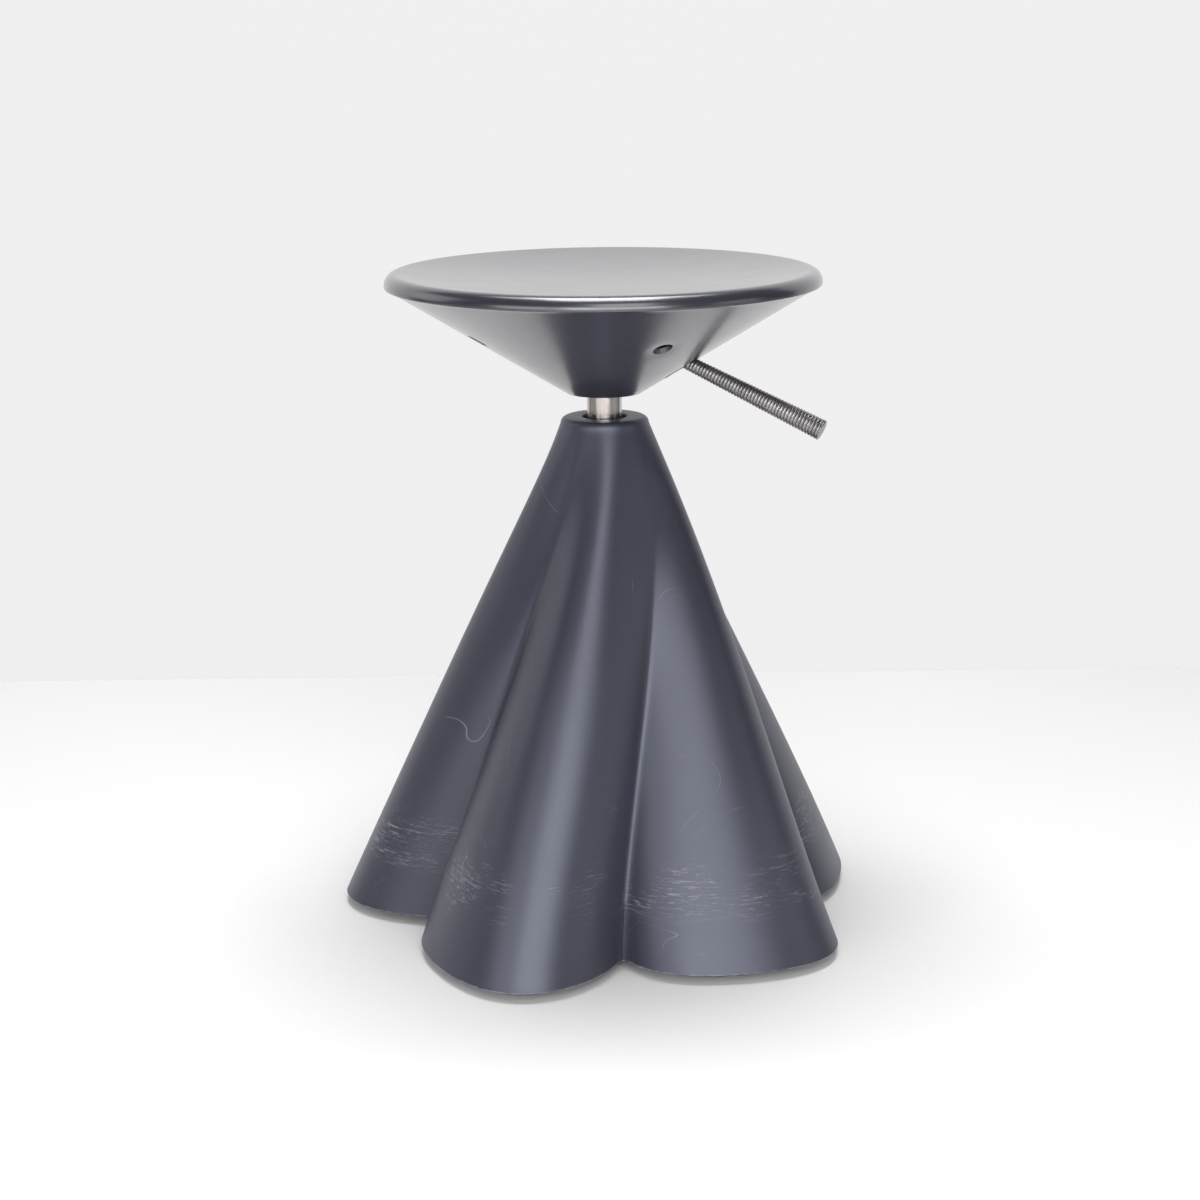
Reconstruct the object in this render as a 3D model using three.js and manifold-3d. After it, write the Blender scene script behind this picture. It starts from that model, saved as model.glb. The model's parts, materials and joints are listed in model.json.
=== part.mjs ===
// A height-adjustable revolving pedestal: a dished round top on a gas-lift column,
// standing in a hollow base with five swirling lobes. Millimetres, +Z up. Heights count
// from the floor, with the top at its lowest. The finished group is then lowered, so that
// the part's origin lies where the column's axis meets the bottom plate's flat underside.

import * as THREE from 'three';
import { mergeVertices } from 'three/addons/utils/BufferGeometryUtils.js';
import Module from 'manifold-3d';

const wasm = await Module();
wasm.setup();

// Overall sizes
const seatDiameter = 346;
const topDepth = 98;
const baseTopHeight = 415;
const baseEdgeHeight = 8;
const hubGap = 19;
const heightTravel = 120;
const touchGap = 0.3;

// Base shell
const lobeCount = 5;
const lobeCentreRadius = 138;
const lobeRoundRadius = 86.5;
const baseTopRound = 5;
const spindleGap = 4;
const baseWall = 5.5;
const baseTopWall = 5;
const innerTopChamfer = 1;
const valleyAngle = -86;
const twistAngle = 47;
const twistPower = 1.7;
const lobeGrowth = 1.3;
const lobeSkewFloor = -0.15;
const lobeSkewTop = 0.28;
const lobeSkewPower = 1.5;
const flangeWidth = 22;
const flangeThickness = 6;

// Bottom plate, feet and their screws
const plateRecess = 2;
const plateEdgeGap = 1;
const bottomPlateThickness = 6;
const footRadius = 14;
const footInset = 24;
const lobeTipShare = 0.6;
const footScrewRadius = 2.5;
const footScrewHeadRadius = 5;
const footScrewHeadHeight = 3;
const footScrewNeck = 1;
const footScrewLift = 1;
const footScrewBite = 3;

// Post and column
const columnRadius = 25;
const columnWall = 2;
const columnTopGap = 2;
const columnSideGap = 3;
const postWall = 3;
const postOverlap = 72;
const gussetCount = 4;
const gussetReach = 60;
const gussetTurn = 45;
const gussetHeight = 90;
const gussetTip = 6;
const gussetThickness = 5;
const ringThickness = 5;
const ringLap = 6;

// Gas lift
const cylinderRadius = 14;
const cylinderWall = 1.6;
const cylinderTopRise = 39.5;
const cylinderLength = 246;
const cylinderNeck = 1;
const endPlugHeight = 12;
const endCapThickness = 3;
const linerThickness = 1;
const linerDrop = 4;
const linerTaper = 2;
const runningClearance = 0.3;
const bushLength = 80;
const bushFlangeHeight = 1;
const bushFlangeInset = 0.5;
const rodRadius = 5;
const rodPlay = 1;
const rodTailLength = 3;
const rodReserve = 8;
const pistonHeight = 10;
const valvePinRadius = 3;
const valvePinRise = 6.4;
const valvePinLength = 16;
const bumpStopHeight = 10;
const bumpStopRadius = 10;
const restGap = 12.3;
const raceSideGap = 4;
const raceThickness = 2.5;
const cageThickness = 4;
const cageInset = 1;
const clipThickness = 1.5;
const clipRadius = 9;

// Dished top
const rimHeight = 11;
const rimRound = 9.5;
const dishDepth = 10;
const panWall = 4;
const bossRadius = 8;
const plateScrewSpacing = 152.4;
const plateScrewRadius = 3;
const plateScrewHeadRadius = 5.6;
const plateScrewHeadHeight = 3.4;
const plateScrewHeadRound = 1;
const plateScrewBite = 8;

// Conical shell under the top
const hubRadius = 29.5;
const hubRound = 3;
const hubHoleClearance = 1.5;
const shellWall = 3.5;
const rimOverhang = 2.5;
const spigotHeight = 4;
const spigotPlay = 1.2;
const accessHoleRadius = 7.5;
const slotWidth = 17;
const slotClearance = 1;

// Mechanism inside the cone
const mountPlateDrop = 24;
const mountPlateThickness = 2.5;
const mountPlateMargin = 9;
const mountPlateCorner = 8;
const channelWall = 2.5;
const channelFloorRise = 22;
const channelFloorThickness = 3;
const channelBack = 40;
const channelFront = 45;
const floorLip = 2.4;
const socketWall = 5;
const socketSideGap = 1.2;
const socketLift = 0.8;
const socketTopDrop = 5;

// Lever
const leverAzimuth = -20.6;
const leverDroop = 23.7;
const leverTravel = 10;
const pivotOffset = 22;
const pivotRadius = 3;
const pivotHeadRadius = 5;
const pivotHeadHeight = 2.5;
const pivotTail = 4;
const leverEyeRadius = 7;
const leverEyeGap = 2.5;
const leverBarHeight = 6;
const leverBarWidth = 10;
const leverBend = 20;
const rodOverlap = 2;
const leverReach = 180.3;
const leverRodRadius = 3.5;
const gripLength = 125;
const gripRadiusInner = 5.7;
const gripRadiusTip = 8.3;
const gripEndWall = 10;
const gripChamfer = 1;

// Sides of the round pieces, and steps along the curved ones
const screwSides = 12;
const boreSides = 14;
const barSides = 16;
const accessSides = 18;
const tubeSides = 20;
const bushSides = 24;
const columnSides = 28;
const raceSides = 32;
const socketHoleSides = 40;
const topSides = 52;
const lobeSteps = 12;
const sideSteps = 8;
const endSteps = 4;
const meanSamples = 36;

// Sizes that follow from the ones above
const seatRadius = seatDiameter / 2;
const hubBottom = baseTopHeight + hubGap;
const seatHeight = hubBottom + topDepth;
const rimBottom = seatHeight - rimHeight;
const crestRadius = seatRadius - rimRound;
const shellTopRadius = seatRadius - rimOverhang;
const shellTop = rimBottom - touchGap;
const shellSlope = (shellTop - hubBottom) / (shellTopRadius - hubRadius);
const shellAngle = Math.atan(shellSlope);
const cylinderTop = hubBottom + cylinderTopRise;
const cylinderBottom = cylinderTop - cylinderLength;
const columnTop = baseTopHeight - baseTopWall - columnTopGap;
const columnBore = columnRadius - columnWall;
const baseTopRadius = columnRadius + columnSideGap + baseWall;
const baseHoleRadius = cylinderRadius + spindleGap;
const bottomPlateUnder = baseEdgeHeight + plateRecess;
const bottomPlateTop = bottomPlateUnder + bottomPlateThickness;
const postFoot = bottomPlateTop + touchGap;
const postBore = columnRadius + touchGap;
const postRadius = postBore + postWall;
const flangeUnder = bottomPlateTop + touchGap;
const flangeTop = flangeUnder + flangeThickness;
const bumpTop = cylinderBottom - restGap;
const bumpBottom = bumpTop - bumpStopHeight;
const upperRaceTop = bumpBottom - touchGap;
const upperRaceBottom = upperRaceTop - raceThickness;
const cageTop = upperRaceBottom - touchGap;
const cageBottom = cageTop - cageThickness;
const raceSeat = cageBottom - touchGap - raceThickness;
const columnBottomHeight = raceSeat - touchGap - ringThickness;
const postTopHeight = columnBottomHeight + postOverlap;
const raceRadius = columnBore - raceSideGap;
const valvePinTop = cylinderTop + valvePinRise;
const leverHeight = valvePinTop + touchGap + leverBarHeight / 2;
const channelFloor = hubBottom + channelFloorRise;
const socketRadius = cylinderRadius + touchGap + socketWall;
const channelInnerWidth = 2 * (socketRadius + socketSideGap);
const leverEyeWidth = channelInnerWidth - 2 * leverEyeGap;
const mountPlateHeight = seatHeight - mountPlateDrop;

const radians = THREE.MathUtils.degToRad;

// How far a cutter stands out of the face that it cuts.
const cutOver = 1;

// ---- shape helpers ----

function solidOf(geometry) {
  const bare = geometry.clone();
  bare.deleteAttribute('normal');
  bare.deleteAttribute('uv');
  const merged = mergeVertices(bare, 1e-4);
  const corners = merged.index.array;
  const kept = [];
  for (let i = 0; i < corners.length; i += 3) {
    const [a, b, c] = [corners[i], corners[i + 1], corners[i + 2]];
    if (a !== b && b !== c && c !== a) kept.push(a, b, c);
  }
  const vertProperties = new Float32Array(merged.attributes.position.array);
  const mesh = new wasm.Mesh({ numProp: 3, vertProperties, triVerts: new Uint32Array(kept) });
  return new wasm.Manifold(mesh);
}

function geometryOf(solid) {
  const { vertProperties, triVerts } = solid.getMesh();
  const geometry = new THREE.BufferGeometry();
  geometry.setAttribute('position', new THREE.BufferAttribute(new Float32Array(vertProperties), 3));
  geometry.setIndex(new THREE.BufferAttribute(new Uint32Array(triVerts), 1));
  geometry.computeVertexNormals();
  return geometry;
}

// A profile of [radius, height] pairs turned about the Z axis. It runs anticlockwise.
function revolve(profile, segments = bushSides) {
  const points = profile.map(([radius, height]) => new THREE.Vector2(radius, height));
  if (profile[0][0] > 0 || profile.at(-1)[0] > 0) points.push(points[0].clone());
  const geometry = new THREE.LatheGeometry(points, segments);
  geometry.rotateX(Math.PI / 2);
  return solidOf(geometry);
}

function tube(outer, inner, low, high, segments = tubeSides) {
  return revolve([[inner, low], [outer, low], [outer, high], [inner, high]], segments);
}

function bar(radius, low, high, segments = barSides) {
  return revolve([[0, low], [radius, low], [radius, high], [0, high]], segments);
}

function box(low, high) {
  const size = high.map((value, axis) => value - low[axis]);
  const geometry = new THREE.BoxGeometry(...size);
  geometry.translate(...low.map((value, axis) => value + size[axis] / 2));
  return solidOf(geometry);
}

function prism(outline, low, high) {
  const shape = new THREE.Shape(outline.map(([x, y]) => new THREE.Vector2(x, y)));
  const geometry = new THREE.ExtrudeGeometry(shape, { depth: high - low, bevelEnabled: false });
  geometry.translate(0, 0, low);
  return solidOf(geometry);
}

// Rings of equal point counts, joined each to the next and the last back to the first.
function loft(rings) {
  const count = rings[0].length;
  const positions = rings.flat(2);
  const faces = [];
  rings.forEach((ring, row) => {
    const next = (row + 1) % rings.length;
    for (let i = 0; i < count; i += 1) {
      const j = (i + 1) % count;
      const [a, b] = [row * count + i, row * count + j];
      const [c, d] = [next * count + j, next * count + i];
      faces.push(a, b, c, a, c, d);
    }
  });
  const geometry = new THREE.BufferGeometry();
  geometry.setAttribute('position', new THREE.BufferAttribute(new Float32Array(positions), 3));
  geometry.setIndex(faces);
  return solidOf(geometry);
}

function arc(centreRadius, centreHeight, radius, from, to, steps) {
  return Array.from({ length: steps + 1 }, (_, step) => {
    const angle = radians(from + ((to - from) * step) / steps);
    return [centreRadius + radius * Math.cos(angle), centreHeight + radius * Math.sin(angle)];
  });
}

function material(color, roughness, metalness) {
  return () => new THREE.MeshStandardMaterial({ color, roughness, metalness });
}

const seatPlastic = material(0x4a4c55, 0.38, 0);
const basePlastic = material(0x4d5260, 0.5, 0);
const platedSteel = material(0xb9aca6, 0.3, 1);
const blackSteel = material(0x26272a, 0.5, 0.8);
const brightSteel = material(0xc8cacc, 0.22, 1);
const gripMetal = material(0x77757a, 0.35, 0.9);
const rubber = material(0x18191b, 0.85, 0);
const bushPlastic = material(0x1f2023, 0.45, 0);

function piece(group, name, solid, finish) {
  const mesh = new THREE.Mesh(geometryOf(solid), finish());
  mesh.name = name;
  group.add(mesh);
  return mesh;
}

// ---- base outline ----

// Radius of the bare five-lobed outline. The skew leans each lobe round the axis, and
// the softness rounds the valley between two lobes.
function lobeOutline(share, skew, softness) {
  const lean = skew * Math.sin(Math.PI * share) ** 2;
  const soft = (softness * Math.sin(2 * Math.PI * share)) / (2 * Math.PI);
  const turn = ((share + lean - soft - 0.5) * 2 * Math.PI) / lobeCount;
  const across = lobeCentreRadius * Math.sin(turn);
  const chord = Math.sqrt(Math.max(lobeRoundRadius ** 2 - across ** 2, 0));
  return lobeCentreRadius * Math.cos(turn) + chord;
}

function meanOutline(skew, softness) {
  let total = 0;
  for (let i = 0; i < meanSamples; i += 1) {
    total += lobeOutline(i / meanSamples, skew, softness);
  }
  return total / meanSamples;
}

const meanFloorRadius = meanOutline(lobeSkewFloor, 0);
const sideHeight = baseTopHeight - baseEdgeHeight;

// Outer radius of the base, by share of a lobe (0 and 1 at its valleys) and height.
function baseRadius(share, height) {
  const rise = (height - baseEdgeHeight) / sideHeight;
  const fall = 1 - rise;
  const skew = lobeSkewFloor + (lobeSkewTop - lobeSkewFloor) * rise ** lobeSkewPower;
  const swell = lobeOutline(share, skew, rise) - meanOutline(skew, rise);
  return baseTopRadius * rise + meanFloorRadius * fall + swell * fall ** lobeGrowth;
}

function baseTurn(height) {
  const rise = (height - baseEdgeHeight) / sideHeight;
  return valleyAngle + twistAngle * rise ** twistPower;
}

function baseRing(height, inset, level = height) {
  const count = lobeCount * lobeSteps;
  return Array.from({ length: count }, (_, i) => {
    const share = (i % lobeSteps) / lobeSteps;
    const angle = radians(baseTurn(height) + (360 * i) / count);
    const radius = baseRadius(share, height) - inset;
    return [radius * Math.cos(angle), radius * Math.sin(angle), level];
  });
}

function roundRing(radius, level, height) {
  return baseRing(height, 0).map(([x, y]) => {
    const angle = Math.atan2(y, x);
    return [radius * Math.cos(angle), radius * Math.sin(angle), level];
  });
}

// ---- base assembly ----

const base = new THREE.Group();
const shoulder = baseTopHeight - baseTopRound;
const innerTop = baseTopHeight - baseTopWall;

function sideLevels(low, high) {
  return Array.from({ length: sideSteps + 1 }, (_, i) => low + ((high - low) * i) / sideSteps);
}

function makeBaseShell() {
  const outer = sideLevels(baseEdgeHeight, shoulder).map((height) => baseRing(height, 0));
  for (const angle of [30, 60, 90]) {
    const inset = baseTopRound * (1 - Math.cos(radians(angle)));
    const level = shoulder + baseTopRound * Math.sin(radians(angle));
    outer.push(baseRing(shoulder, inset, level));
  }
  const hole = [baseTopHeight, innerTop].map((level) => roundRing(baseHoleRadius, level, shoulder));
  const innerHigh = innerTop - innerTopChamfer;
  const inner = sideLevels(flangeTop, innerHigh).reverse();
  const innerRings = [roundRing(columnRadius + innerTopChamfer, innerTop, shoulder)];
  innerRings.push(...inner.map((height) => baseRing(height, baseWall)));
  innerRings.push(baseRing(flangeTop, baseWall + flangeWidth));
  innerRings.push(baseRing(flangeUnder, baseWall + flangeWidth));
  innerRings.push(baseRing(flangeUnder, baseWall));
  innerRings.push(baseRing(baseEdgeHeight, baseWall));
  return loft([...outer, ...hole, ...innerRings]);
}

function lobeTips() {
  return Array.from({ length: lobeCount }, (_, i) => {
    const share = lobeTipShare;
    const radius = baseRadius(share, bottomPlateUnder) - baseWall - footInset;
    const angle = radians(baseTurn(bottomPlateUnder) + (360 * (i + share)) / lobeCount);
    return [radius * Math.cos(angle), radius * Math.sin(angle)];
  });
}

const footPlaces = lobeTips();
const footScrewHole = footScrewRadius + touchGap;
const footScrewTop = flangeUnder + footScrewBite;

let baseShell = makeBaseShell();
const plateEdge = baseRing(bottomPlateTop, baseWall + plateEdgeGap);
let bottomPlate = prism(plateEdge, bottomPlateUnder, bottomPlateTop);
for (const [x, y] of footPlaces) {
  const hole = bar(footScrewHole, bottomPlateUnder - cutOver, footScrewTop + cutOver).translate(x, y, 0);
  baseShell = baseShell.subtract(hole);
  bottomPlate = bottomPlate.subtract(hole);
}
piece(base, 'base_shell', baseShell, basePlastic);
piece(base, 'bottom_plate', bottomPlate, blackSteel);

const footTop = bottomPlateUnder - touchGap;
const headTop = footScrewHeadHeight + touchGap;
const neckTop = headTop + footScrewNeck;
footPlaces.forEach(([x, y], i) => {
  const recess = footScrewHeadRadius + touchGap;
  const foot = revolve([
    [recess, 0],
    [footRadius, 0],
    [footRadius, footTop],
    [footScrewHole, footTop],
    [footScrewHole, neckTop + touchGap],
    [recess, neckTop + touchGap],
  ], barSides);
  piece(base, `foot_${i + 1}`, foot.translate(x, y, 0), rubber);
  const screw = revolve([
    [0, footScrewLift],
    [footScrewHeadRadius, footScrewLift],
    [footScrewHeadRadius, headTop],
    [footScrewRadius, neckTop],
    [footScrewRadius, footScrewTop],
    [0, footScrewTop],
  ], screwSides);
  piece(base, `foot_screw_${i + 1}`, screw.translate(x, y, 0), platedSteel);
});

const post = tube(postRadius, postBore, postFoot, postTopHeight, columnSides);
piece(base, 'support_post', post, blackSteel);

for (let i = 0; i < gussetCount; i += 1) {
  const start = postRadius + touchGap;
  const rib = prism(
    [[start, 0], [start + gussetReach, 0], [start + gussetReach, gussetTip], [start, gussetHeight]],
    -gussetThickness / 2,
    gussetThickness / 2,
  );
  const upright = rib.rotate([90, 0, 0]).translate(0, 0, postFoot);
  const turned = upright.rotate([0, 0, gussetTurn + (360 * i) / gussetCount]);
  piece(base, `post_gusset_${i + 1}`, turned, blackSteel);
}

const seatRingTop = columnBottomHeight - touchGap;
const seatRingBottom = seatRingTop - ringThickness;
const seatRing = tube(columnRadius, columnBore - ringLap, seatRingBottom, seatRingTop, columnSides);
piece(base, 'post_seat_ring', seatRing, blackSteel);

const columnTube = tube(columnRadius, columnBore, columnBottomHeight, columnTop, columnSides);
piece(base, 'column_tube', columnTube, blackSteel);

const stopRadius = columnBore - touchGap;
const rodHole = rodRadius + rodPlay;
const columnFloor = tube(stopRadius, rodHole, columnBottomHeight, columnBottomHeight + ringThickness);
piece(base, 'column_floor', columnFloor, blackSteel);

const bushBore = cylinderRadius + runningClearance;
const bushFlangeUnder = columnTop + touchGap;
const bush = revolve([
  [bushBore, columnTop - bushLength],
  [stopRadius, columnTop - bushLength],
  [stopRadius, bushFlangeUnder],
  [columnRadius - bushFlangeInset, bushFlangeUnder],
  [columnRadius - bushFlangeInset, bushFlangeUnder + bushFlangeHeight],
  [bushBore, bushFlangeUnder + bushFlangeHeight],
]);
piece(base, 'guide_bush', bush, bushPlastic);

const lowerRace = tube(raceRadius, rodHole, raceSeat, raceSeat + raceThickness);
piece(base, 'bearing_race_lower', lowerRace, brightSteel);

// ---- piston rod, which turns on the thrust bearing ----

const piston = new THREE.Group();
const rodCollar = rodRadius + touchGap;
const cage = tube(raceRadius - cageInset, rodHole + cageInset, cageBottom, cageTop, raceSides);
piece(piston, 'ball_cage', cage, brightSteel);
const upperRace = tube(raceRadius, rodCollar, upperRaceBottom, upperRaceTop, raceSides);
piece(piston, 'bearing_race_upper', upperRace, brightSteel);
piece(piston, 'bump_stop', tube(bumpStopRadius, rodCollar, bumpBottom, bumpTop), rubber);

const clipTop = columnBottomHeight - touchGap;
const rodTail = clipTop - clipThickness - rodTailLength;
const rodTop = cylinderBottom + endPlugHeight + heightTravel + rodReserve + touchGap;
piece(piston, 'piston_rod', bar(rodRadius, rodTail, rodTop), brightSteel);
piece(piston, 'rod_clip', tube(clipRadius, rodCollar, clipTop - clipThickness, clipTop), blackSteel);

const pistonBottom = rodTop + touchGap;
const pistonRadius = cylinderRadius - cylinderWall - runningClearance;
const pistonHead = bar(pistonRadius, pistonBottom, pistonBottom + pistonHeight, raceSides);
piece(piston, 'piston_head', pistonHead, brightSteel);

// ---- top assembly ----

const seat = new THREE.Group();
seat.rotation.z = radians(leverAzimuth);

function dishHeight(radius, drop) {
  return seatHeight - drop - dishDepth * (1 - (radius / crestRadius) ** 2);
}

// Three rings between the dish's middle and its crest, closer together where it is steeper.
const dishRadii = [0.35, 0.65, 0.87].map((share) => share * crestRadius);
const rimCentre = seatHeight - rimRound;
const panProfile = [
  [0, seatHeight - dishDepth - panWall],
  ...dishRadii.map((radius) => [radius, dishHeight(radius, panWall)]),
  ...arc(crestRadius, rimCentre, rimRound - panWall, 90, 0, 2),
  [seatRadius - panWall, rimBottom],
  [seatRadius, rimBottom],
  ...arc(crestRadius, rimCentre, rimRound, 0, 90, endSteps),
  ...dishRadii.toReversed().map((radius) => [radius, dishHeight(radius, 0)]),
  [0, seatHeight - dishDepth],
];
const half = plateScrewSpacing / 2;
const corners = [[half, half], [-half, half], [-half, -half], [half, -half]];
const mountPlateTop = mountPlateHeight + mountPlateThickness;
const bossBottom = mountPlateTop + touchGap;
const bossPitch = Math.hypot(half, half);
const screwTop = bossBottom + plateScrewBite;

let pan = revolve(panProfile, topSides);
const bossTop = dishHeight(bossPitch, panWall / 2);
for (const [x, y] of corners) {
  pan = pan.add(bar(bossRadius, bossBottom, bossTop).translate(x, y, 0));
}
for (const [x, y] of corners) {
  const bore = bar(plateScrewRadius + touchGap, bossBottom - cutOver, screwTop + touchGap, boreSides);
  pan = pan.subtract(bore.translate(x, y, 0));
}
piece(seat, 'seat_pan', pan, seatPlastic);

// Cone surface height at a radius, measured on its outside.
function coneHeight(radius) {
  return hubBottom + shellSlope * (radius - hubRadius);
}

// Where the lever's centre line crosses the cone's outside when it is pressed by an angle:
// the distance from the pivot's plane, along X.
function leverCrossing(angle) {
  const turn = radians(angle);
  const slope = -Math.tan(radians(leverDroop) + turn);
  const bendX = leverBend + pivotOffset;
  const movedX = bendX * Math.cos(turn) - pivotOffset;
  const movedZ = leverHeight - bendX * Math.sin(turn);
  return (movedZ - slope * movedX - hubBottom + shellSlope * hubRadius) / (shellSlope - slope);
}

function gripRadiusAt(crossing) {
  const fromTip = (leverReach - crossing) / Math.cos(radians(leverDroop));
  return gripRadiusTip - ((gripRadiusTip - gripRadiusInner) * fromTip) / gripLength;
}

// End of the slot, by the lever's width where it crosses the wall at a slant.
function slotEnd(angle, side) {
  const crossing = leverCrossing(angle);
  const cut = Math.sin(radians(leverDroop + angle) + shellAngle);
  const wallRun = shellWall / Math.tan(radians(leverDroop + angle) + shellAngle);
  const spread = gripRadiusAt(crossing) / cut + slotClearance + Math.max(side * -wallRun, 0);
  return crossing / Math.cos(shellAngle) + side * spread;
}

function makeUnderShell() {
  const wallRise = shellWall / Math.cos(shellAngle);
  const spindleHole = cylinderRadius + hubHoleClearance;
  const spigotOuter = seatRadius - panWall - spigotPlay;
  const spigotInner = spigotOuter - shellWall;
  const hubTop = hubBottom + shellWall;
  const innerStart = hubRadius + (hubTop - hubBottom - wallRise) / shellSlope;
  const coneStart = hubRadius + shellWall;
  let shell = revolve([
    [spindleHole, hubBottom],
    ...arc(hubRadius - hubRound, hubBottom + hubRound, hubRound, -90, -20, 3),
    [coneStart, coneHeight(coneStart)],
    [shellTopRadius, shellTop],
    [spigotOuter, shellTop],
    [spigotOuter, shellTop + spigotHeight],
    [spigotInner, shellTop + spigotHeight],
    [spigotInner, coneHeight(spigotInner) + wallRise],
    [innerStart, hubTop],
    [spindleHole, hubTop],
  ], topSides);
  const accessLow = coneHeight(bossPitch - accessHoleRadius) - cutOver;
  const accessHigh = coneHeight(bossPitch + accessHoleRadius) + wallRise + cutOver;
  for (const [x, y] of corners) {
    const hole = bar(accessHoleRadius, accessLow, accessHigh, accessSides);
    shell = shell.subtract(hole.translate(x, y, 0));
  }
  const low = slotEnd(leverTravel, -1);
  const high = slotEnd(0, 1);
  const end = slotWidth / 2;
  const outline = [
    ...arc(high - end, 0, end, -90, 90, endSteps),
    ...arc(low + end, 0, end, 90, 270, endSteps),
  ];
  const hubRun = hubRadius / Math.cos(shellAngle);
  const slotCutDepth = 2 * shellWall + slotClearance;
  const cutter = prism(outline, -slotCutDepth, slotCutDepth).translate(-hubRun, 0, 0);
  const tilted = cutter.rotate([0, -THREE.MathUtils.radToDeg(shellAngle), 0]);
  return shell.subtract(tilted.translate(hubRadius, 0, hubBottom));
}
piece(seat, 'under_shell', makeUnderShell(), seatPlastic);

function roundedSquare(halfWidth, corner) {
  const inner = halfWidth - corner;
  return [[1, 1, 0], [-1, 1, 90], [-1, -1, 180], [1, -1, 270]].flatMap(([sideX, sideY, from]) => (
    arc(sideX * inner, sideY * inner, corner, from, from + 90, endSteps)
  ));
}

const plateOutline = roundedSquare(half + mountPlateMargin, mountPlateCorner);
const plateHoleLow = mountPlateHeight - cutOver;
let mountPlate = prism(plateOutline, mountPlateHeight, mountPlateTop);
for (const [x, y] of corners) {
  const hole = bar(plateScrewRadius + touchGap, plateHoleLow, mountPlateTop + cutOver, boreSides);
  mountPlate = mountPlate.subtract(hole.translate(x, y, 0));
}
piece(seat, 'mount_plate', mountPlate, blackSteel);

const headBottom = mountPlateHeight - touchGap - plateScrewHeadHeight;
corners.forEach(([x, y], i) => {
  const screw = revolve([
    [0, headBottom],
    [plateScrewHeadRadius - plateScrewHeadRound, headBottom],
    [plateScrewHeadRadius, headBottom + plateScrewHeadRound],
    [plateScrewHeadRadius, headBottom + plateScrewHeadHeight],
    [plateScrewRadius, headBottom + plateScrewHeadHeight],
    [plateScrewRadius, screwTop],
    [0, screwTop],
  ], screwSides);
  piece(seat, `plate_screw_${i + 1}`, screw.translate(x, y, 0), platedSteel);
});

// An open channel welded under the plate holds the socket and the lever's pivot.
const innerHalf = channelInnerWidth / 2;
const outerHalf = innerHalf + channelWall;
const channelTop = mountPlateHeight - touchGap;
const floorTop = channelFloor + channelFloorThickness;
const floorUnder = channelFloor - cutOver;
const socketHole = socketRadius + touchGap;
const floorFront = socketHole + floorLip;
const openBack = -channelBack - cutOver;
const openFront = channelFront + cutOver;
let channel = box([-channelBack, -outerHalf, channelFloor], [channelFront, outerHalf, channelTop])
  .subtract(box([openBack, -innerHalf, floorTop], [openFront, innerHalf, channelTop + cutOver]))
  .subtract(box([floorFront, -innerHalf, floorUnder], [openFront, innerHalf, floorTop + cutOver]))
  .subtract(bar(socketHole, floorUnder, floorTop + cutOver, socketHoleSides));
const pivotBore = bar(pivotRadius + touchGap, -outerHalf - cutOver, outerHalf + cutOver)
  .rotate([90, 0, 0])
  .translate(-pivotOffset, 0, leverHeight);
channel = channel.subtract(pivotBore);
piece(seat, 'channel_bracket', channel, blackSteel);

const socketTop = cylinderTop - socketTopDrop;
const socketBottom = hubBottom + shellWall + socketLift;
const socketBoreLow = cylinderRadius + touchGap;
const taperNeck = cylinderRadius - cylinderNeck;
const socket = revolve([
  [socketBoreLow, socketBottom],
  [socketRadius, socketBottom],
  [socketRadius, socketTop],
  [taperNeck + touchGap, socketTop],
], columnSides);
piece(seat, 'taper_socket', socket, blackSteel);

const pinReach = outerHalf + touchGap;
const pivotPin = revolve([
  [0, -pinReach - pivotHeadHeight],
  [pivotHeadRadius, -pinReach - pivotHeadHeight],
  [pivotHeadRadius, -pinReach],
  [pivotRadius, -pinReach],
  [pivotRadius, pinReach + pivotTail],
  [0, pinReach + pivotTail],
]).rotate([90, 0, 0]).translate(-pivotOffset, 0, leverHeight);
piece(seat, 'pivot_pin', pivotPin, platedSteel);

const pivotClip = tube(pivotHeadRadius, pivotRadius + touchGap, pinReach, pinReach + clipThickness)
  .rotate([90, 0, 0])
  .translate(-pivotOffset, 0, leverHeight);
piece(seat, 'pivot_clip', pivotClip, brightSteel);

// ---- pressure cylinder, held in the socket ----

const pinHole = valvePinRadius + runningClearance;
const cylinderBore = cylinderRadius - cylinderWall;
const linerBore = cylinderBore - linerThickness;
const capUnder = cylinderTop - endCapThickness;
const linerLow = socketBottom - linerDrop;
const cylinderTube = revolve([
  [cylinderBore, cylinderBottom],
  [cylinderRadius, cylinderBottom],
  [cylinderRadius, socketBottom],
  [taperNeck, socketTop],
  [taperNeck, cylinderTop],
  [pinHole, cylinderTop],
  [pinHole, capUnder],
  [linerBore, capUnder],
  [linerBore, linerLow],
  [cylinderBore, linerLow - linerTaper],
], columnSides);
piece(seat, 'gas_cylinder', cylinderTube, platedSteel);

const plugTop = capUnder - touchGap;
const housingRadius = linerBore - touchGap;
const valveHousing = tube(housingRadius, pinHole, plugTop - endPlugHeight, plugTop, bushSides);
piece(seat, 'valve_housing', valveHousing, bushPlastic);

const sealTop = cylinderBottom + endPlugHeight;
const sealBore = rodRadius + runningClearance;
const rodSeal = tube(cylinderBore - touchGap, sealBore, cylinderBottom, sealTop, bushSides);
piece(seat, 'rod_seal', rodSeal, rubber);

const valvePin = bar(valvePinRadius, valvePinTop - valvePinLength, valvePinTop, tubeSides);
piece(seat, 'release_pin', valvePin, brightSteel);

// ---- lever ----

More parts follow.
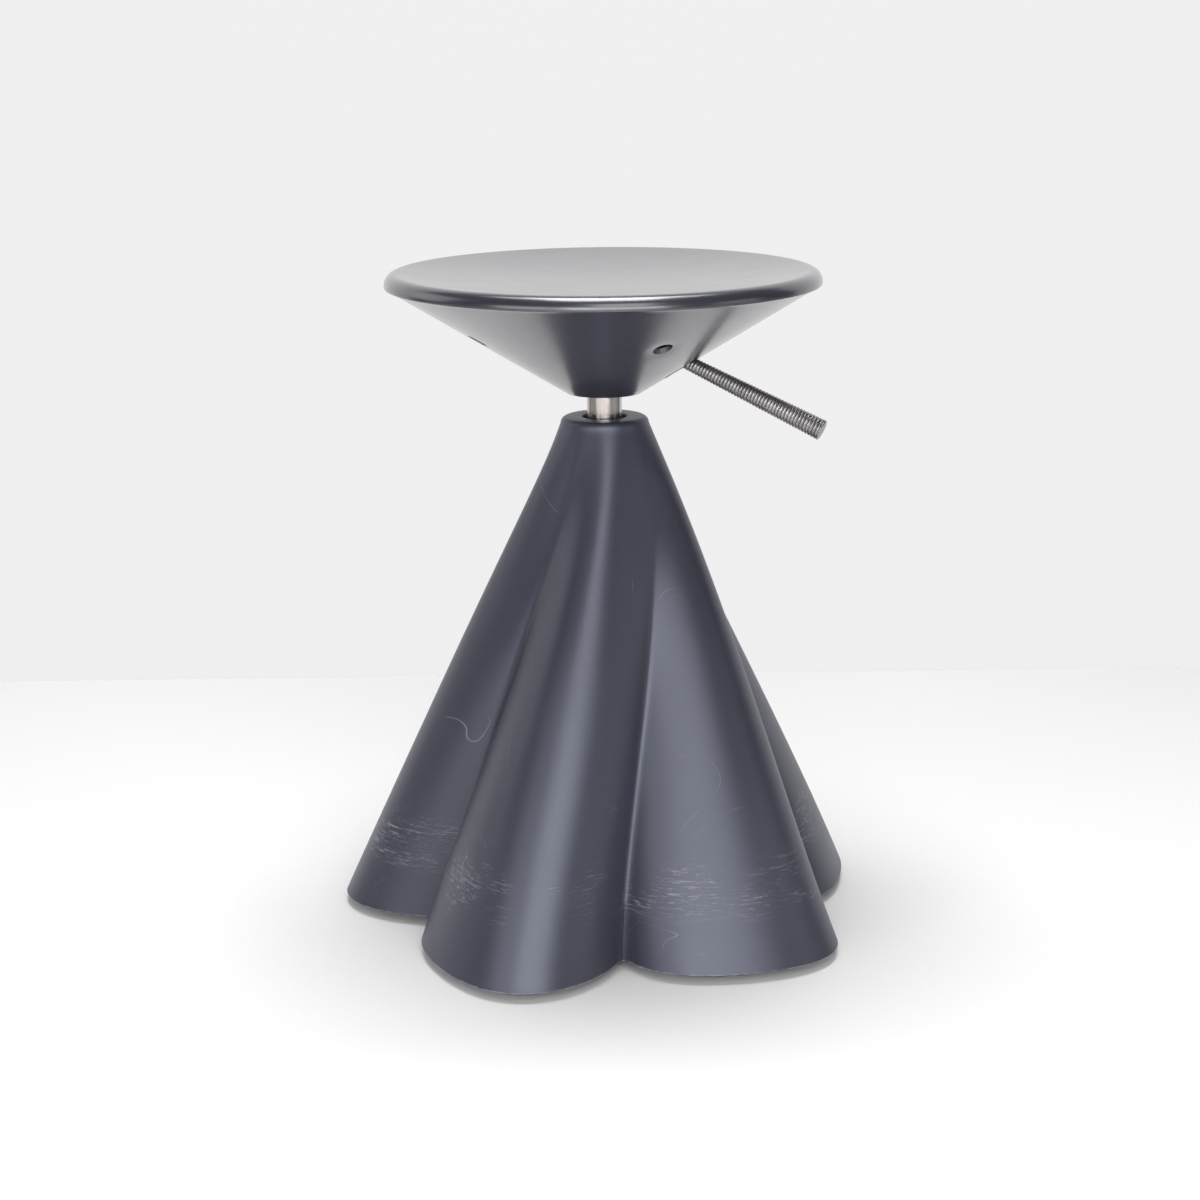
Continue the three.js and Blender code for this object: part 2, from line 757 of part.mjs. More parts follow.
function makeLeverArm() {
  const eye = bar(leverEyeRadius, -leverEyeWidth / 2, leverEyeWidth / 2, columnSides).rotate([90, 0, 0]);
  const bore = bar(pivotRadius + touchGap, -leverEyeWidth, leverEyeWidth).rotate([90, 0, 0]);
  const barHalf = leverBarHeight / 2;
  const run = pivotOffset + leverBend;
  const flat = box([0, -leverBarWidth / 2, -barHalf], [run + cutOver, leverBarWidth / 2, barHalf]);
  const rodLength = (leverReach - leverBend) / Math.cos(radians(leverDroop)) - gripEndWall;
  const rod = bar(leverRodRadius, -rodOverlap, rodLength, tubeSides).rotate([0, 90 + leverDroop, 0]);
  return eye.add(flat).add(rod.translate(run, 0, 0)).subtract(bore);
}
const leverArm = makeLeverArm().translate(-pivotOffset, 0, leverHeight);
piece(seat, 'lever_arm', leverArm, platedSteel);

const gripBore = leverRodRadius + touchGap;
const leverLength = (leverReach - leverBend) / Math.cos(radians(leverDroop));
const gripStart = leverLength - gripLength;
const gripShape = revolve([
  [gripBore, gripStart],
  [gripRadiusInner, gripStart],
  [gripRadiusTip, leverLength - gripChamfer],
  [gripRadiusTip - gripChamfer, leverLength],
  [0, leverLength],
  [0, leverLength - gripEndWall + touchGap],
  [gripBore, leverLength - gripEndWall + touchGap],
], columnSides);
const grip = gripShape.rotate([0, 90 + leverDroop, 0]).translate(leverBend, 0, leverHeight);
piece(seat, 'lever_grip', grip, gripMetal);

const pedestal = new THREE.Group();
pedestal.add(base);
pedestal.add(piston);
pedestal.add(seat);
pedestal.position.z = -bottomPlateUnder;

export default pedestal;
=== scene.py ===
import json
import math

import bpy
from mathutils import Matrix, Quaternion, Vector


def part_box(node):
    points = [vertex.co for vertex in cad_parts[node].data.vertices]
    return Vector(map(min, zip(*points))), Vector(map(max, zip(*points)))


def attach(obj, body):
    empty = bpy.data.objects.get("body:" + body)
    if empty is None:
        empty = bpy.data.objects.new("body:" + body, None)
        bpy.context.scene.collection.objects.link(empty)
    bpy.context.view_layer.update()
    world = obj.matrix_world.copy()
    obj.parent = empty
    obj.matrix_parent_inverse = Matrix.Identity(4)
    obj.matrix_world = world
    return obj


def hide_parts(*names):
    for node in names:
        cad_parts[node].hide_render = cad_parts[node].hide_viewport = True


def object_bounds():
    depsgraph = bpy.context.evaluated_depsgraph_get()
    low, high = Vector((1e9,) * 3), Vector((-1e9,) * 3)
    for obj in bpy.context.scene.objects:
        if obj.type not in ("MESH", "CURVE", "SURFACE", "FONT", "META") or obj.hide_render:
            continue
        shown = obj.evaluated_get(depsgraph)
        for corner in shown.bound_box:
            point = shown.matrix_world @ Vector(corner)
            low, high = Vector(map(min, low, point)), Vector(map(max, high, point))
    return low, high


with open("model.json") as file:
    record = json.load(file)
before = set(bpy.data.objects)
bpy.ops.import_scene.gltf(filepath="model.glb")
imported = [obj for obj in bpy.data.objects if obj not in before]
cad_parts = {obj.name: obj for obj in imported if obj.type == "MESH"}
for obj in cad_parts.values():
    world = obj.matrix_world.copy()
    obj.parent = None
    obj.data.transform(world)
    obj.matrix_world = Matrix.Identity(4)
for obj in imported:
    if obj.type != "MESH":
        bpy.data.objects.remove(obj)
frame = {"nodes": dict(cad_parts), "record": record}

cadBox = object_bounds()
record = frame["record"]
mm = 0.001
jointGap = 0.3 * mm
floorLevel = cadBox[0][2]


def middle(node):
    low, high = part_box(node)
    return (Vector(low) + Vector(high)) / 2


def jointNamed(name):
    return next(joint for joint in record["behaviour"]["joints"] if joint["name"] == name)


leverJoint = jointNamed("lever_press")
leverAxis = Vector(leverJoint["axis"]).normalized()
leverPivot = Vector(leverJoint["pos_m"])
leverTurn = math.atan2(-leverAxis.x, leverAxis.y)
leverWay = Vector((math.cos(leverTurn), math.sin(leverTurn), 0))
screwNodes = [f"plate_screw_{i}" for i in range(1, 5)]
footNodes = [f"foot_{i}" for i in range(1, 6)]
footScrewNodes = [f"foot_screw_{i}" for i in range(1, 6)]


def placeMesh(name, mesh):
    piece = bpy.data.objects.new(name, mesh)
    bpy.context.scene.collection.objects.link(piece)
    return piece


def arcPoints(centre, radius, start, end, steps):
    points = []
    for step in range(steps + 1):
        angle = math.radians(start + (end - start) * step / steps)
        points.append((centre[0] + radius * math.cos(angle), centre[1] + radius * math.sin(angle)))
    return points


def gridMesh(name, rows, columns, wrapRows=False):
    # rows is a list of dictionaries of named numbers; each becomes a point attribute
    count = len(rows)
    mesh = bpy.data.meshes.new(name)
    points = [(c / columns, r / count, 0) for r in range(count) for c in range(columns)]
    last = count if wrapRows else count - 1
    faces = []
    for r in range(last):
        for c in range(columns):
            near, far = r * columns, (r + 1) % count * columns
            side = (c + 1) % columns
            faces.append((near + c, near + side, far + side, far + c))
    mesh.from_pydata(points, [], faces)
    values = {"across": [c / columns for _ in rows for c in range(columns)]}
    for key in rows[0]:
        values[key] = [row[key] for row in rows for _ in range(columns)]
    for key, numbers in values.items():
        mesh.attributes.new(key, "FLOAT", "POINT").data.foreach_set("value", numbers)
    rowNumbers = mesh.attributes.new("row", "INT", "POINT")
    rowNumbers.data.foreach_set("value", [r for r in range(count) for _ in range(columns)])
    layer = mesh.uv_layers.new(name="wrap")
    corners = []
    for r in range(last):
        for c in range(columns):
            low, high = r / count, (r + 1) / count
            corners += [(c / columns, low), ((c + 1) / columns, low)]
            corners += [((c + 1) / columns, high), (c / columns, high)]
    layer.data.foreach_set("uv", [number for corner in corners for number in corner])
    return mesh


def turnedMesh(name, profile, columns, closed=True):
    # A profile of (radius, height) points turned about the vertical axis, anticlockwise
    points, rings = [], []
    for radius, height in profile:
        if radius < 1e-7:
            rings.append([len(points)])
            points.append((0, 0, height))
            continue
        rings.append(list(range(len(points), len(points) + columns)))
        for c in range(columns):
            angle = 2 * math.pi * c / columns
            points.append((radius * math.cos(angle), radius * math.sin(angle), height))
    faces = []
    onAxis = len(rings[0]) == 1 and len(rings[-1]) == 1
    pairs = list(zip(rings, rings[1:]))
    if closed and not onAxis:
        pairs.append((rings[-1], rings[0]))
    for low, high in pairs:
        for c in range(columns):
            side = (c + 1) % columns
            if len(low) == 1:
                faces.append((low[0], high[side], high[c]))
            elif len(high) == 1:
                faces.append((low[c], low[side], high[0]))
            else:
                faces.append((low[c], low[side], high[side], high[c]))
    mesh = bpy.data.meshes.new(name)
    mesh.from_pydata(points, [], faces)
    return mesh


def smoothMesh(mesh, angle=35):
    mesh.shade_smooth()
    mesh.set_sharp_from_angle(angle=math.radians(angle))
    return mesh


def turned(name, profile, columns, material, at=(0, 0, 0), matrix=None):
    mesh = turnedMesh(name, profile, columns)
    mesh.transform(matrix if matrix else Matrix.Translation(at))
    mesh.materials.append(material)
    return placeMesh(name, smoothMesh(mesh))


def settle(piece, body, slot, *nodes):
    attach(piece, body)
    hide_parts(*nodes)
    return piece


def startTree(name, sizes):
    tree = bpy.data.node_groups.new(name, "GeometryNodeTree")
    tree.interface.new_socket("Geometry", in_out="INPUT", socket_type="NodeSocketGeometry")
    tree.interface.new_socket("Geometry", in_out="OUTPUT", socket_type="NodeSocketGeometry")
    for key, value in sizes.items():
        kind = "NodeSocketInt" if isinstance(value, int) else "NodeSocketFloat"
        tree.interface.new_socket(key, in_out="INPUT", socket_type=kind)
    entry = tree.nodes.new("NodeGroupInput")
    return tree, entry


def addNode(tree, kind, settings=None, **inputs):
    node = tree.nodes.new(kind)
    for key, value in (settings or {}).items():
        setattr(node, key, value)
    for key, value in inputs.items():
        feed(tree, node.inputs[key.replace("_", " ")], value)
    return node


def feed(tree, socket, value):
    if isinstance(value, bpy.types.NodeSocket):
        tree.links.new(value, socket)
    else:
        socket.default_value = value


def calcIn(tree):
    # Returns a function that adds one math node and gives its result
    def calc(operation, *values):
        node = tree.nodes.new("ShaderNodeMath")
        node.operation = operation
        for socket, value in zip(node.inputs, values):
            feed(tree, socket, value)
        return node.outputs[0]
    return calc


def readAttribute(tree, key, kind="FLOAT"):
    node = tree.nodes.new("GeometryNodeInputNamedAttribute")
    node.data_type = kind
    node.inputs["Name"].default_value = key
    return node.outputs["Attribute"]


def finishTree(tree, geometry, material):
    realized = addNode(tree, "GeometryNodeRealizeInstances", Geometry=geometry)
    painted = addNode(tree, "GeometryNodeSetMaterial", Geometry=realized.outputs[0])
    painted.inputs["Material"].default_value = material
    tree.links.new(painted.outputs[0], tree.nodes.new("NodeGroupOutput").inputs[0])


def runTree(name, mesh, tree, sizes, sharpAngle=35):
    carrier = placeMesh(name + "Source", mesh)
    modifier = carrier.modifiers.new("shape", "NODES")
    modifier.node_group = tree
    for socket in tree.interface.items_tree:
        if socket.in_out == "INPUT" and socket.name in sizes:
            modifier[socket.identifier] = sizes[socket.name]
    graph = bpy.context.evaluated_depsgraph_get()
    result = bpy.data.meshes.new_from_object(carrier.evaluated_get(graph))
    carrier.modifiers.clear()
    bpy.data.objects.remove(carrier)
    result.name = name
    smoothMesh(result, sharpAngle)
    return placeMesh(name, result)


def startFinish(name, color, roughness, metallic=0.0):
    finish = bpy.data.materials.new(name)
    finish.use_nodes = True
    tree = finish.node_tree
    shader = tree.nodes["Principled BSDF"]
    shader.inputs["Base Color"].default_value = (*color, 1)
    shader.inputs["Roughness"].default_value = roughness
    shader.inputs["Metallic"].default_value = metallic
    place = tree.nodes.new("ShaderNodeTexCoord").outputs["Object"]
    return finish, tree, shader, place


def noiseAt(tree, place, scale, detail=2.0, roughness=0.5, stretch=None, distortion=0.0):
    if stretch:
        turn = addNode(tree, "ShaderNodeMapping", Vector=place)
        turn.inputs["Scale"].default_value = stretch
        place = turn.outputs[0]
    node = tree.nodes.new("ShaderNodeTexNoise")
    tree.links.new(place, node.inputs["Vector"])
    node.inputs["Scale"].default_value = scale
    node.inputs["Detail"].default_value = detail
    node.inputs["Roughness"].default_value = roughness
    node.inputs["Distortion"].default_value = distortion
    return node.outputs["Fac"]


def remap(tree, value, low, high, outLow=0.0, outHigh=1.0):
    node = tree.nodes.new("ShaderNodeMapRange")
    node.interpolation_type = "SMOOTHSTEP"
    tree.links.new(value, node.inputs["Value"])
    for key, number in (("From Min", low), ("From Max", high), ("To Min", outLow), ("To Max", outHigh)):
        node.inputs[key].default_value = number
    return node.outputs["Result"]


def blendColors(tree, share, first, second):
    node = tree.nodes.new("ShaderNodeMix")
    node.data_type = "RGBA"
    feed(tree, node.inputs["Factor"], share)
    colorSockets = [socket for socket in node.inputs if socket.type == "RGBA"]
    for socket, value in zip(colorSockets, (first, second)):
        feed(tree, socket, value if isinstance(value, bpy.types.NodeSocket) else (*value, 1))
    return [socket for socket in node.outputs if socket.type == "RGBA"][0]


def bump(tree, shader, height, distance, strength=1.0, under=None):
    node = tree.nodes.new("ShaderNodeBump")
    node.inputs["Strength"].default_value = strength
    node.inputs["Distance"].default_value = distance
    tree.links.new(height, node.inputs["Height"])
    if under:
        tree.links.new(under, node.inputs["Normal"])
    tree.links.new(node.outputs[0], shader.inputs["Normal"])
    return node.outputs[0]


def hairlines(tree, calc, place, scale, width, mask, seed):
    # Thin contour lines of a distorted noise, kept only where the mask is high
    moved = addNode(tree, "ShaderNodeMapping", Vector=place)
    moved.inputs["Location"].default_value = (seed, 2 * seed, 3 * seed)
    lines = noiseAt(tree, moved.outputs[0], scale, 1, 0.4, distortion=1.1)
    lines = calc("ABSOLUTE", calc("SUBTRACT", lines, 0.5))
    lines = remap(tree, lines, 0.0, width, 1.0, 0.0)
    return calc("MULTIPLY", lines, mask)


def makeBasePlastic():
    look = {"color": (0.034, 0.035, 0.051), "pale": (0.36, 0.36, 0.40), "roughness": 0.41, "ior": 1.75,
            "sheen": (0.80, 0.84, 1.0),
            "bandLow": 0.040, "bandHigh": 0.098, "edgeHeight": 0.0089,
            "edgeFade": 0.0006, "bandWear": 0.44, "levelWear": 0.5, "hairWear": 0.34, "wearRoughness": 0.3}
    finish, tree, shader, place = startFinish("basePlastic", look["color"], look["roughness"])
    shader.inputs["IOR"].default_value = look["ior"]
    shader.inputs["Specular Tint"].default_value = (*look["sheen"], 1)
    calc = calcIn(tree)
    split = addNode(tree, "ShaderNodeSeparateXYZ", Vector=place)
    height = calc("SUBTRACT", split.outputs["Z"], floorLevel)
    # rubbed band low on the lobes, broken up into short level strokes and specks
    lowBand = remap(tree, height, look["bandLow"], look["bandLow"] + 0.02)
    highBand = remap(tree, height, look["bandHigh"] - 0.022, look["bandHigh"], 1.0, 0.0)
    inBand = calc("MULTIPLY", lowBand, highBand)
    strokes = noiseAt(tree, place, 70, 4, 0.7, stretch=(1, 1, 10), distortion=0.4)
    specks = noiseAt(tree, place, 260, 3, 0.7, stretch=(1, 1, 2.5))
    patches = remap(tree, noiseAt(tree, place, 13, 2, 0.5), 0.44, 0.60)
    strokes = calc("MULTIPLY", remap(tree, strokes, 0.55, 0.64), patches)
    specks = calc("MULTIPLY", remap(tree, specks, 0.60, 0.70), patches)
    band = calc("MULTIPLY", inBand, calc("MAXIMUM", strokes, calc("MULTIPLY", specks, 0.6)))
    # long level rub lines inside the band, and hairlines anywhere
    levels = noiseAt(tree, place, 9, 2, 0.5, stretch=(1, 1, 26))
    levels = remap(tree, calc("ABSOLUTE", calc("SUBTRACT", levels, 0.5)), 0.0, 0.008, 1.0, 0.0)
    levels = calc("MULTIPLY", calc("MULTIPLY", levels, inBand), patches)
    someHair = remap(tree, noiseAt(tree, place, 17, 2, 0.5), 0.58, 0.64)
    fewHair = remap(tree, noiseAt(tree, place, 12, 2, 0.5), 0.63, 0.68)
    hair = hairlines(tree, calc, place, 9, 0.0024, someHair, 0.0)
    fine = hairlines(tree, calc, place, 26, 0.0035, fewHair, 3.1)
    edgeNoise = remap(tree, noiseAt(tree, place, 300, 3, 0.7), 0.40, 0.62, 0.1, 1.0)
    edge = remap(tree, height, look["edgeHeight"] - look["edgeFade"], look["edgeHeight"], 1.0, 0.0)
    edge = calc("MULTIPLY", edge, edgeNoise)
    levels = calc("MULTIPLY", levels, look["levelWear"])
    wear = calc("MAXIMUM", calc("MULTIPLY", band, look["bandWear"]), levels)
    wear = calc("MAXIMUM", wear, calc("MULTIPLY", calc("MAXIMUM", hair, fine), look["hairWear"]))
    wear = calc("MAXIMUM", wear, edge)
    mottle = noiseAt(tree, place, 5, 3, 0.55)
    darker = tuple(0.86 * part for part in look["color"])
    body = blendColors(tree, remap(tree, mottle, 0.3, 0.7), darker, look["color"])
    tree.links.new(blendColors(tree, wear, body, look["pale"]), shader.inputs["Base Color"])
    rough = calc("ADD", remap(tree, mottle, 0.2, 0.8, -0.03, 0.04), look["roughness"])
    rough = calc("ADD", rough, calc("MULTIPLY", wear, look["wearRoughness"]))
    tree.links.new(rough, shader.inputs["Roughness"])
    # faint waviness of a large moulding, then a fine skin, then scratches cut in
    ripple = bump(tree, shader, noiseAt(tree, place, 26, 2, 0.5), 0.0006, 0.18)
    skin = bump(tree, shader, noiseAt(tree, place, 700, 2, 0.6), 0.00005, 0.4, ripple)
    bump(tree, shader, calc("SUBTRACT", 1.0, wear), 0.00006, 0.5, skin)
    return finish


def makeSeatPlastic():
    look = {"color": (0.030, 0.030, 0.040), "pale": (0.20, 0.20, 0.23), "roughness": 0.29, "ior": 1.6,
            "sheen": (0.93, 0.94, 1.0), "coat": 1.0, "coatRoughness": 0.21, "hairWear": 0.3,
            "smearRoughness": 0.03}
    finish, tree, shader, place = startFinish("seatPlastic", look["color"], look["roughness"])
    shader.inputs["IOR"].default_value = look["ior"]
    shader.inputs["Specular Tint"].default_value = (*look["sheen"], 1)
    shader.inputs["Coat Weight"].default_value = look["coat"]
    shader.inputs["Coat Roughness"].default_value = look["coatRoughness"]
    calc = calcIn(tree)
    mottle = noiseAt(tree, place, 8, 3, 0.55)
    someHair = remap(tree, noiseAt(tree, place, 15, 2, 0.5), 0.68, 0.74)
    hair = hairlines(tree, calc, place, 7, 0.0008, someHair, 1.7)
    smears = remap(tree, noiseAt(tree, place, 22, 4, 0.6, stretch=(1, 1, 3)), 0.45, 0.75)
    darker = tuple(0.88 * part for part in look["color"])
    body = blendColors(tree, remap(tree, mottle, 0.3, 0.7), darker, look["color"])
    wear = calc("MULTIPLY", hair, look["hairWear"])
    tree.links.new(blendColors(tree, wear, body, look["pale"]), shader.inputs["Base Color"])
    rough = remap(tree, mottle, 0.2, 0.8, look["roughness"] - 0.02, look["roughness"] + 0.02)
    rough = calc("ADD", rough, calc("MULTIPLY", smears, look["smearRoughness"]))
    tree.links.new(rough, shader.inputs["Roughness"])
    bump(tree, shader, noiseAt(tree, place, 900, 2, 0.6), 0.00002, 0.25)
    return finish


def makeMetal(name, look):
    finish, tree, shader, place = startFinish(name, look["color"], look["roughness"], look["metallic"])
    streak = noiseAt(tree, place, look["grain"], 3, 0.6, stretch=look["stretch"])
    cloud = noiseAt(tree, place, look["cloud"], 3, 0.5)
    body = blendColors(tree, remap(tree, cloud, 0.35, 0.65), look["color"], look["tint"])
    tree.links.new(body, shader.inputs["Base Color"])
    spread = look["spread"]
    rough = remap(tree, streak, 0.25, 0.75, look["roughness"] - spread, look["roughness"] + spread)
    tree.links.new(rough, shader.inputs["Roughness"])
    bump(tree, shader, streak, look["relief"], 0.5)
    return finish


def makeRubber():
    look = {"color": (0.012, 0.012, 0.013), "dust": (0.05, 0.05, 0.05), "roughness": 0.8}
    finish, tree, shader, place = startFinish("blackRubber", look["color"], look["roughness"])
    dust = remap(tree, noiseAt(tree, place, 90, 4, 0.6), 0.5, 0.75, 0.0, 0.6)
    tree.links.new(blendColors(tree, dust, look["color"], look["dust"]), shader.inputs["Base Color"])
    bump(tree, shader, noiseAt(tree, place, 1200, 2, 0.6), 0.0001, 0.6)
    return finish


metalLooks = {
    "zincSpindle": {"color": (0.62, 0.54, 0.50), "tint": (0.56, 0.55, 0.56), "roughness": 0.24,
                    "metallic": 1.0, "grain": 400, "stretch": (1, 1, 0.03), "cloud": 24, "spread": 0.08,
                    "relief": 0.00002},
    "platedSteel": {"color": (0.50, 0.49, 0.47), "tint": (0.42, 0.42, 0.42), "roughness": 0.34,
                    "metallic": 1.0, "grain": 300, "stretch": (1, 1, 1), "cloud": 40, "spread": 0.08,
                    "relief": 0.00003},
    "brightSteel": {"color": (0.62, 0.63, 0.64), "tint": (0.55, 0.56, 0.57), "roughness": 0.22,
                    "metallic": 1.0, "grain": 500, "stretch": (1, 1, 20), "cloud": 30, "spread": 0.06,
                    "relief": 0.00001},
    "blackSteel": {"color": (0.022, 0.022, 0.024), "tint": (0.03, 0.03, 0.032), "roughness": 0.5,
                   "metallic": 0.0, "grain": 900, "stretch": (1, 1, 1), "cloud": 20, "spread": 0.07,
                    "relief": 0.0001},
    "ribbedGrip": {"color": (0.34, 0.32, 0.32), "tint": (0.24, 0.23, 0.235), "roughness": 0.33,
                   "metallic": 0.9, "grain": 300, "stretch": (1, 1, 1), "cloud": 60, "spread": 0.08,
                    "relief": 0.00003},
    "bushPlastic": {"color": (0.018, 0.018, 0.019), "tint": (0.024, 0.024, 0.025), "roughness": 0.42,
                    "metallic": 0.0, "grain": 600, "stretch": (1, 1, 1), "cloud": 30, "spread": 0.05,
                    "relief": 0.00004},
}
finishes = {name: makeMetal(name, look) for name, look in metalLooks.items()}
finishes["basePlastic"] = makeBasePlastic()
finishes["seatPlastic"] = makeSeatPlastic()
finishes["blackRubber"] = makeRubber()
slotFinish = {"base_plastic": "basePlastic", "seat_plastic": "seatPlastic", "zinc_spindle": "zincSpindle",
              "plated_steel": "platedSteel", "bright_steel": "brightSteel", "black_steel": "blackSteel",
              "ribbed_grip": "ribbedGrip", "rubber": "blackRubber", "bush_plastic": "bushPlastic"}
print("finishes made")


baseShape = {"lobes": 5, "lobeCentreRadius": 0.138, "lobeRoundRadius": 0.0865, "topRadius": 0.0335,
             "valleyAngle": math.radians(-86), "twist": math.radians(47), "twistPower": 1.7,
             "growth": 1.3, "skewFloor": -0.15, "skewTop": 0.28, "trim": 0.996, "valleyEase": 5,
             "columns": 360}
baseCut = {"wall": 0.0055, "topWall": 0.005, "topRound": 0.005, "holeRadius": 0.018, "columnRoom": 0.026,
           "flangeWidth": 0.022, "flangeThickness": 0.006, "sideRows": 96, "innerRows": 40,
           "edgeRough": 0.0004, "edge": 0.0008, "topFlat": 0.006, "plateRoom": 0.0012, "plateBevel": 0.0006}


def outlineNodes(calc, sizes, share, skew, softness):
    # Radius of the bare lobed outline at a share of one lobe
    lean = calc("MULTIPLY", skew, calc("POWER", calc("SINE", calc("MULTIPLY", share, math.pi)), 2.0))
    wave = calc("SINE", calc("MULTIPLY", share, 2 * math.pi))
    soft = calc("DIVIDE", calc("MULTIPLY", softness, wave), 2 * math.pi)
    offset = calc("SUBTRACT", calc("SUBTRACT", calc("ADD", share, lean), soft), 0.5)
    turn = calc("DIVIDE", calc("MULTIPLY", offset, 2 * math.pi), sizes["lobes"])
    side = calc("MULTIPLY", sizes["lobeCentreRadius"], calc("SINE", turn))
    under = calc("SUBTRACT", calc("POWER", sizes["lobeRoundRadius"], 2.0), calc("MULTIPLY", side, side))
    chord = calc("SQRT", calc("MAXIMUM", under, 0.0))
    return calc("ADD", calc("MULTIPLY", sizes["lobeCentreRadius"], calc("COSINE", turn)), chord)


def ringMean(tree, calc, value, row, columns):
    node = tree.nodes.new("GeometryNodeAccumulateField")
    node.data_type = "FLOAT"
    tree.links.new(value, node.inputs[0])
    tree.links.new(row, node.inputs["Group ID"])
    return calc("DIVIDE", node.outputs["Total"], columns)


def lobedTree(name, sizes, material):
    tree, entry = startTree(name, sizes)
    calc = calcIn(tree)
    size = {key: entry.outputs[key] for key in sizes}
    across, rise = readAttribute(tree, "across"), readAttribute(tree, "rise")
    row = readAttribute(tree, "row", "INT")
    fall = calc("SUBTRACT", 1.0, rise)
    share = calc("FRACT", calc("ADD", calc("MULTIPLY", across, size["lobes"]), 1e-5))
    lift = calc("SUBTRACT", size["skewTop"], size["skewFloor"])
    skew = calc("ADD", size["skewFloor"], calc("MULTIPLY", lift, calc("POWER", rise, 1.5)))
    outline = outlineNodes(calc, size, share, skew, rise)
    floorOutline = outlineNodes(calc, size, share, size["skewFloor"], 0.0)
    mean = ringMean(tree, calc, outline, row, size["columns"])
    floorMean = ringMean(tree, calc, floorOutline, row, size["columns"])
    eased = addNode(tree, "GeometryNodeBlurAttribute", {"data_type": "FLOAT"})
    tree.links.new(outline, eased.inputs[0])
    tree.links.new(size["valleyEase"], eased.inputs["Iterations"])
    swell = calc("SUBTRACT", eased.outputs[0], mean)
    swell = calc("MULTIPLY", swell, calc("POWER", fall, size["growth"]))
    steady = calc("ADD", calc("MULTIPLY", size["topRadius"], rise), calc("MULTIPLY", floorMean, fall))
    trimmed = calc("MULTIPLY", calc("ADD", steady, swell), size["trim"])  # stays inside the flat-sided solid
    lobed = calc("SUBTRACT", trimmed, readAttribute(tree, "inset"))
    roundness = readAttribute(tree, "roundness")
    plain = calc("MULTIPLY", lobed, calc("SUBTRACT", 1.0, roundness))
    radius = calc("ADD", plain, calc("MULTIPLY", readAttribute(tree, "circle"), roundness))
    swirl = calc("MULTIPLY", size["twist"], calc("POWER", rise, size["twistPower"]))
    angle = calc("ADD", calc("ADD", size["valleyAngle"], swirl), calc("MULTIPLY", across, 2 * math.pi))
    flat = tree.nodes.new("ShaderNodeCombineXYZ")
    spot = tree.nodes.new("ShaderNodeCombineXYZ")
    for key, wave in (("X", "COSINE"), ("Y", "SINE")):
        part = calc("MULTIPLY", radius, calc(wave, angle))
        tree.links.new(part, flat.inputs[key])
        tree.links.new(part, spot.inputs[key])
    # the trimmed lower edge is a little ragged
    ragged = noiseAt(tree, flat.outputs[0], 320)
    jitter = calc("MAXIMUM", calc("SUBTRACT", ragged, 0.35), 0.0)
    level = calc("ADD", readAttribute(tree, "level"), calc("MULTIPLY", jitter, readAttribute(tree, "rough")))
    tree.links.new(level, spot.inputs["Z"])
    moved = addNode(tree, "GeometryNodeSetPosition", Geometry=entry.outputs["Geometry"])
    tree.links.new(spot.outputs[0], moved.inputs["Position"])
    merged = addNode(tree, "GeometryNodeMergeByDistance", Geometry=moved.outputs[0])
    merged.inputs["Distance"].default_value = 1e-6
    finishTree(tree, merged.outputs[0], material)
    return tree


def lobedPiece(name, rows, material, wrapRows):
    tree = lobedTree(name + "Tree", baseShape, material)
    mesh = gridMesh(name, rows, baseShape["columns"], wrapRows)
    return runTree(name, mesh, tree, baseShape, 50)


baseLow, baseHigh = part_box("base_shell")[0][2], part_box("base_shell")[1][2]
plateLow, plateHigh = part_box("bottom_plate")[0][2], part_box("bottom_plate")[1][2]


def baseRow(height, inset=0.0, level=None, circle=None, rough=0.0):
    return {"rise": (height - baseLow) / (baseHigh - baseLow), "inset": inset,
            "level": height if level is None else level, "circle": circle or 0.0,
            "roundness": 0.0 if circle is None else 1.0, "rough": rough}


def spaced(low, high, count):
    return [low + (high - low) * i / count for i in range(count + 1)]


def makeBaseShell():
    cut = baseCut
    shoulder = baseHigh - cut["topRound"]
    innerTop = baseHigh - cut["topWall"]
    flangeLow = plateHigh + jointGap
    flangeHigh = flangeLow + cut["flangeThickness"]
    edge, rough = cut["edge"], cut["edgeRough"]
    rows = [baseRow(baseLow, 0.5 * edge, rough=rough)]
    rows.append(baseRow(baseLow, 0.1 * edge, baseLow + 0.3 * edge, rough=rough))
    rows += [baseRow(height) for height in spaced(baseLow + edge, shoulder, cut["sideRows"])]
    for angle in range(10, 91, 10):
        turn = math.radians(angle)
        inset = cut["topRound"] * (1 - math.cos(turn))
        rows.append(baseRow(shoulder, inset, shoulder + cut["topRound"] * math.sin(turn)))
    hole, lip = cut["holeRadius"], cut["edge"]
    holeRings = [(baseHigh, hole + cut["topFlat"]), (baseHigh, hole + lip)]
    holeRings += [(baseHigh - 0.25 * lip, hole + 0.25 * lip), (baseHigh - lip, hole), (innerTop, hole)]
    for level, radius in holeRings:
        rows.append(baseRow(shoulder, level=level, circle=radius))
    rows.append(baseRow(shoulder, level=innerTop, circle=cut["columnRoom"]))
    rows += [baseRow(height, cut["wall"]) for height in spaced(innerTop - mm, flangeHigh, cut["innerRows"])]
    for level in (flangeHigh, flangeLow):
        rows.append(baseRow(level, cut["wall"] + cut["flangeWidth"]))
    rows.append(baseRow(flangeLow, cut["wall"]))
    rows.append(baseRow(baseLow, cut["wall"], rough=rough))
    return lobedPiece("baseShell", rows, finishes["basePlastic"], True)


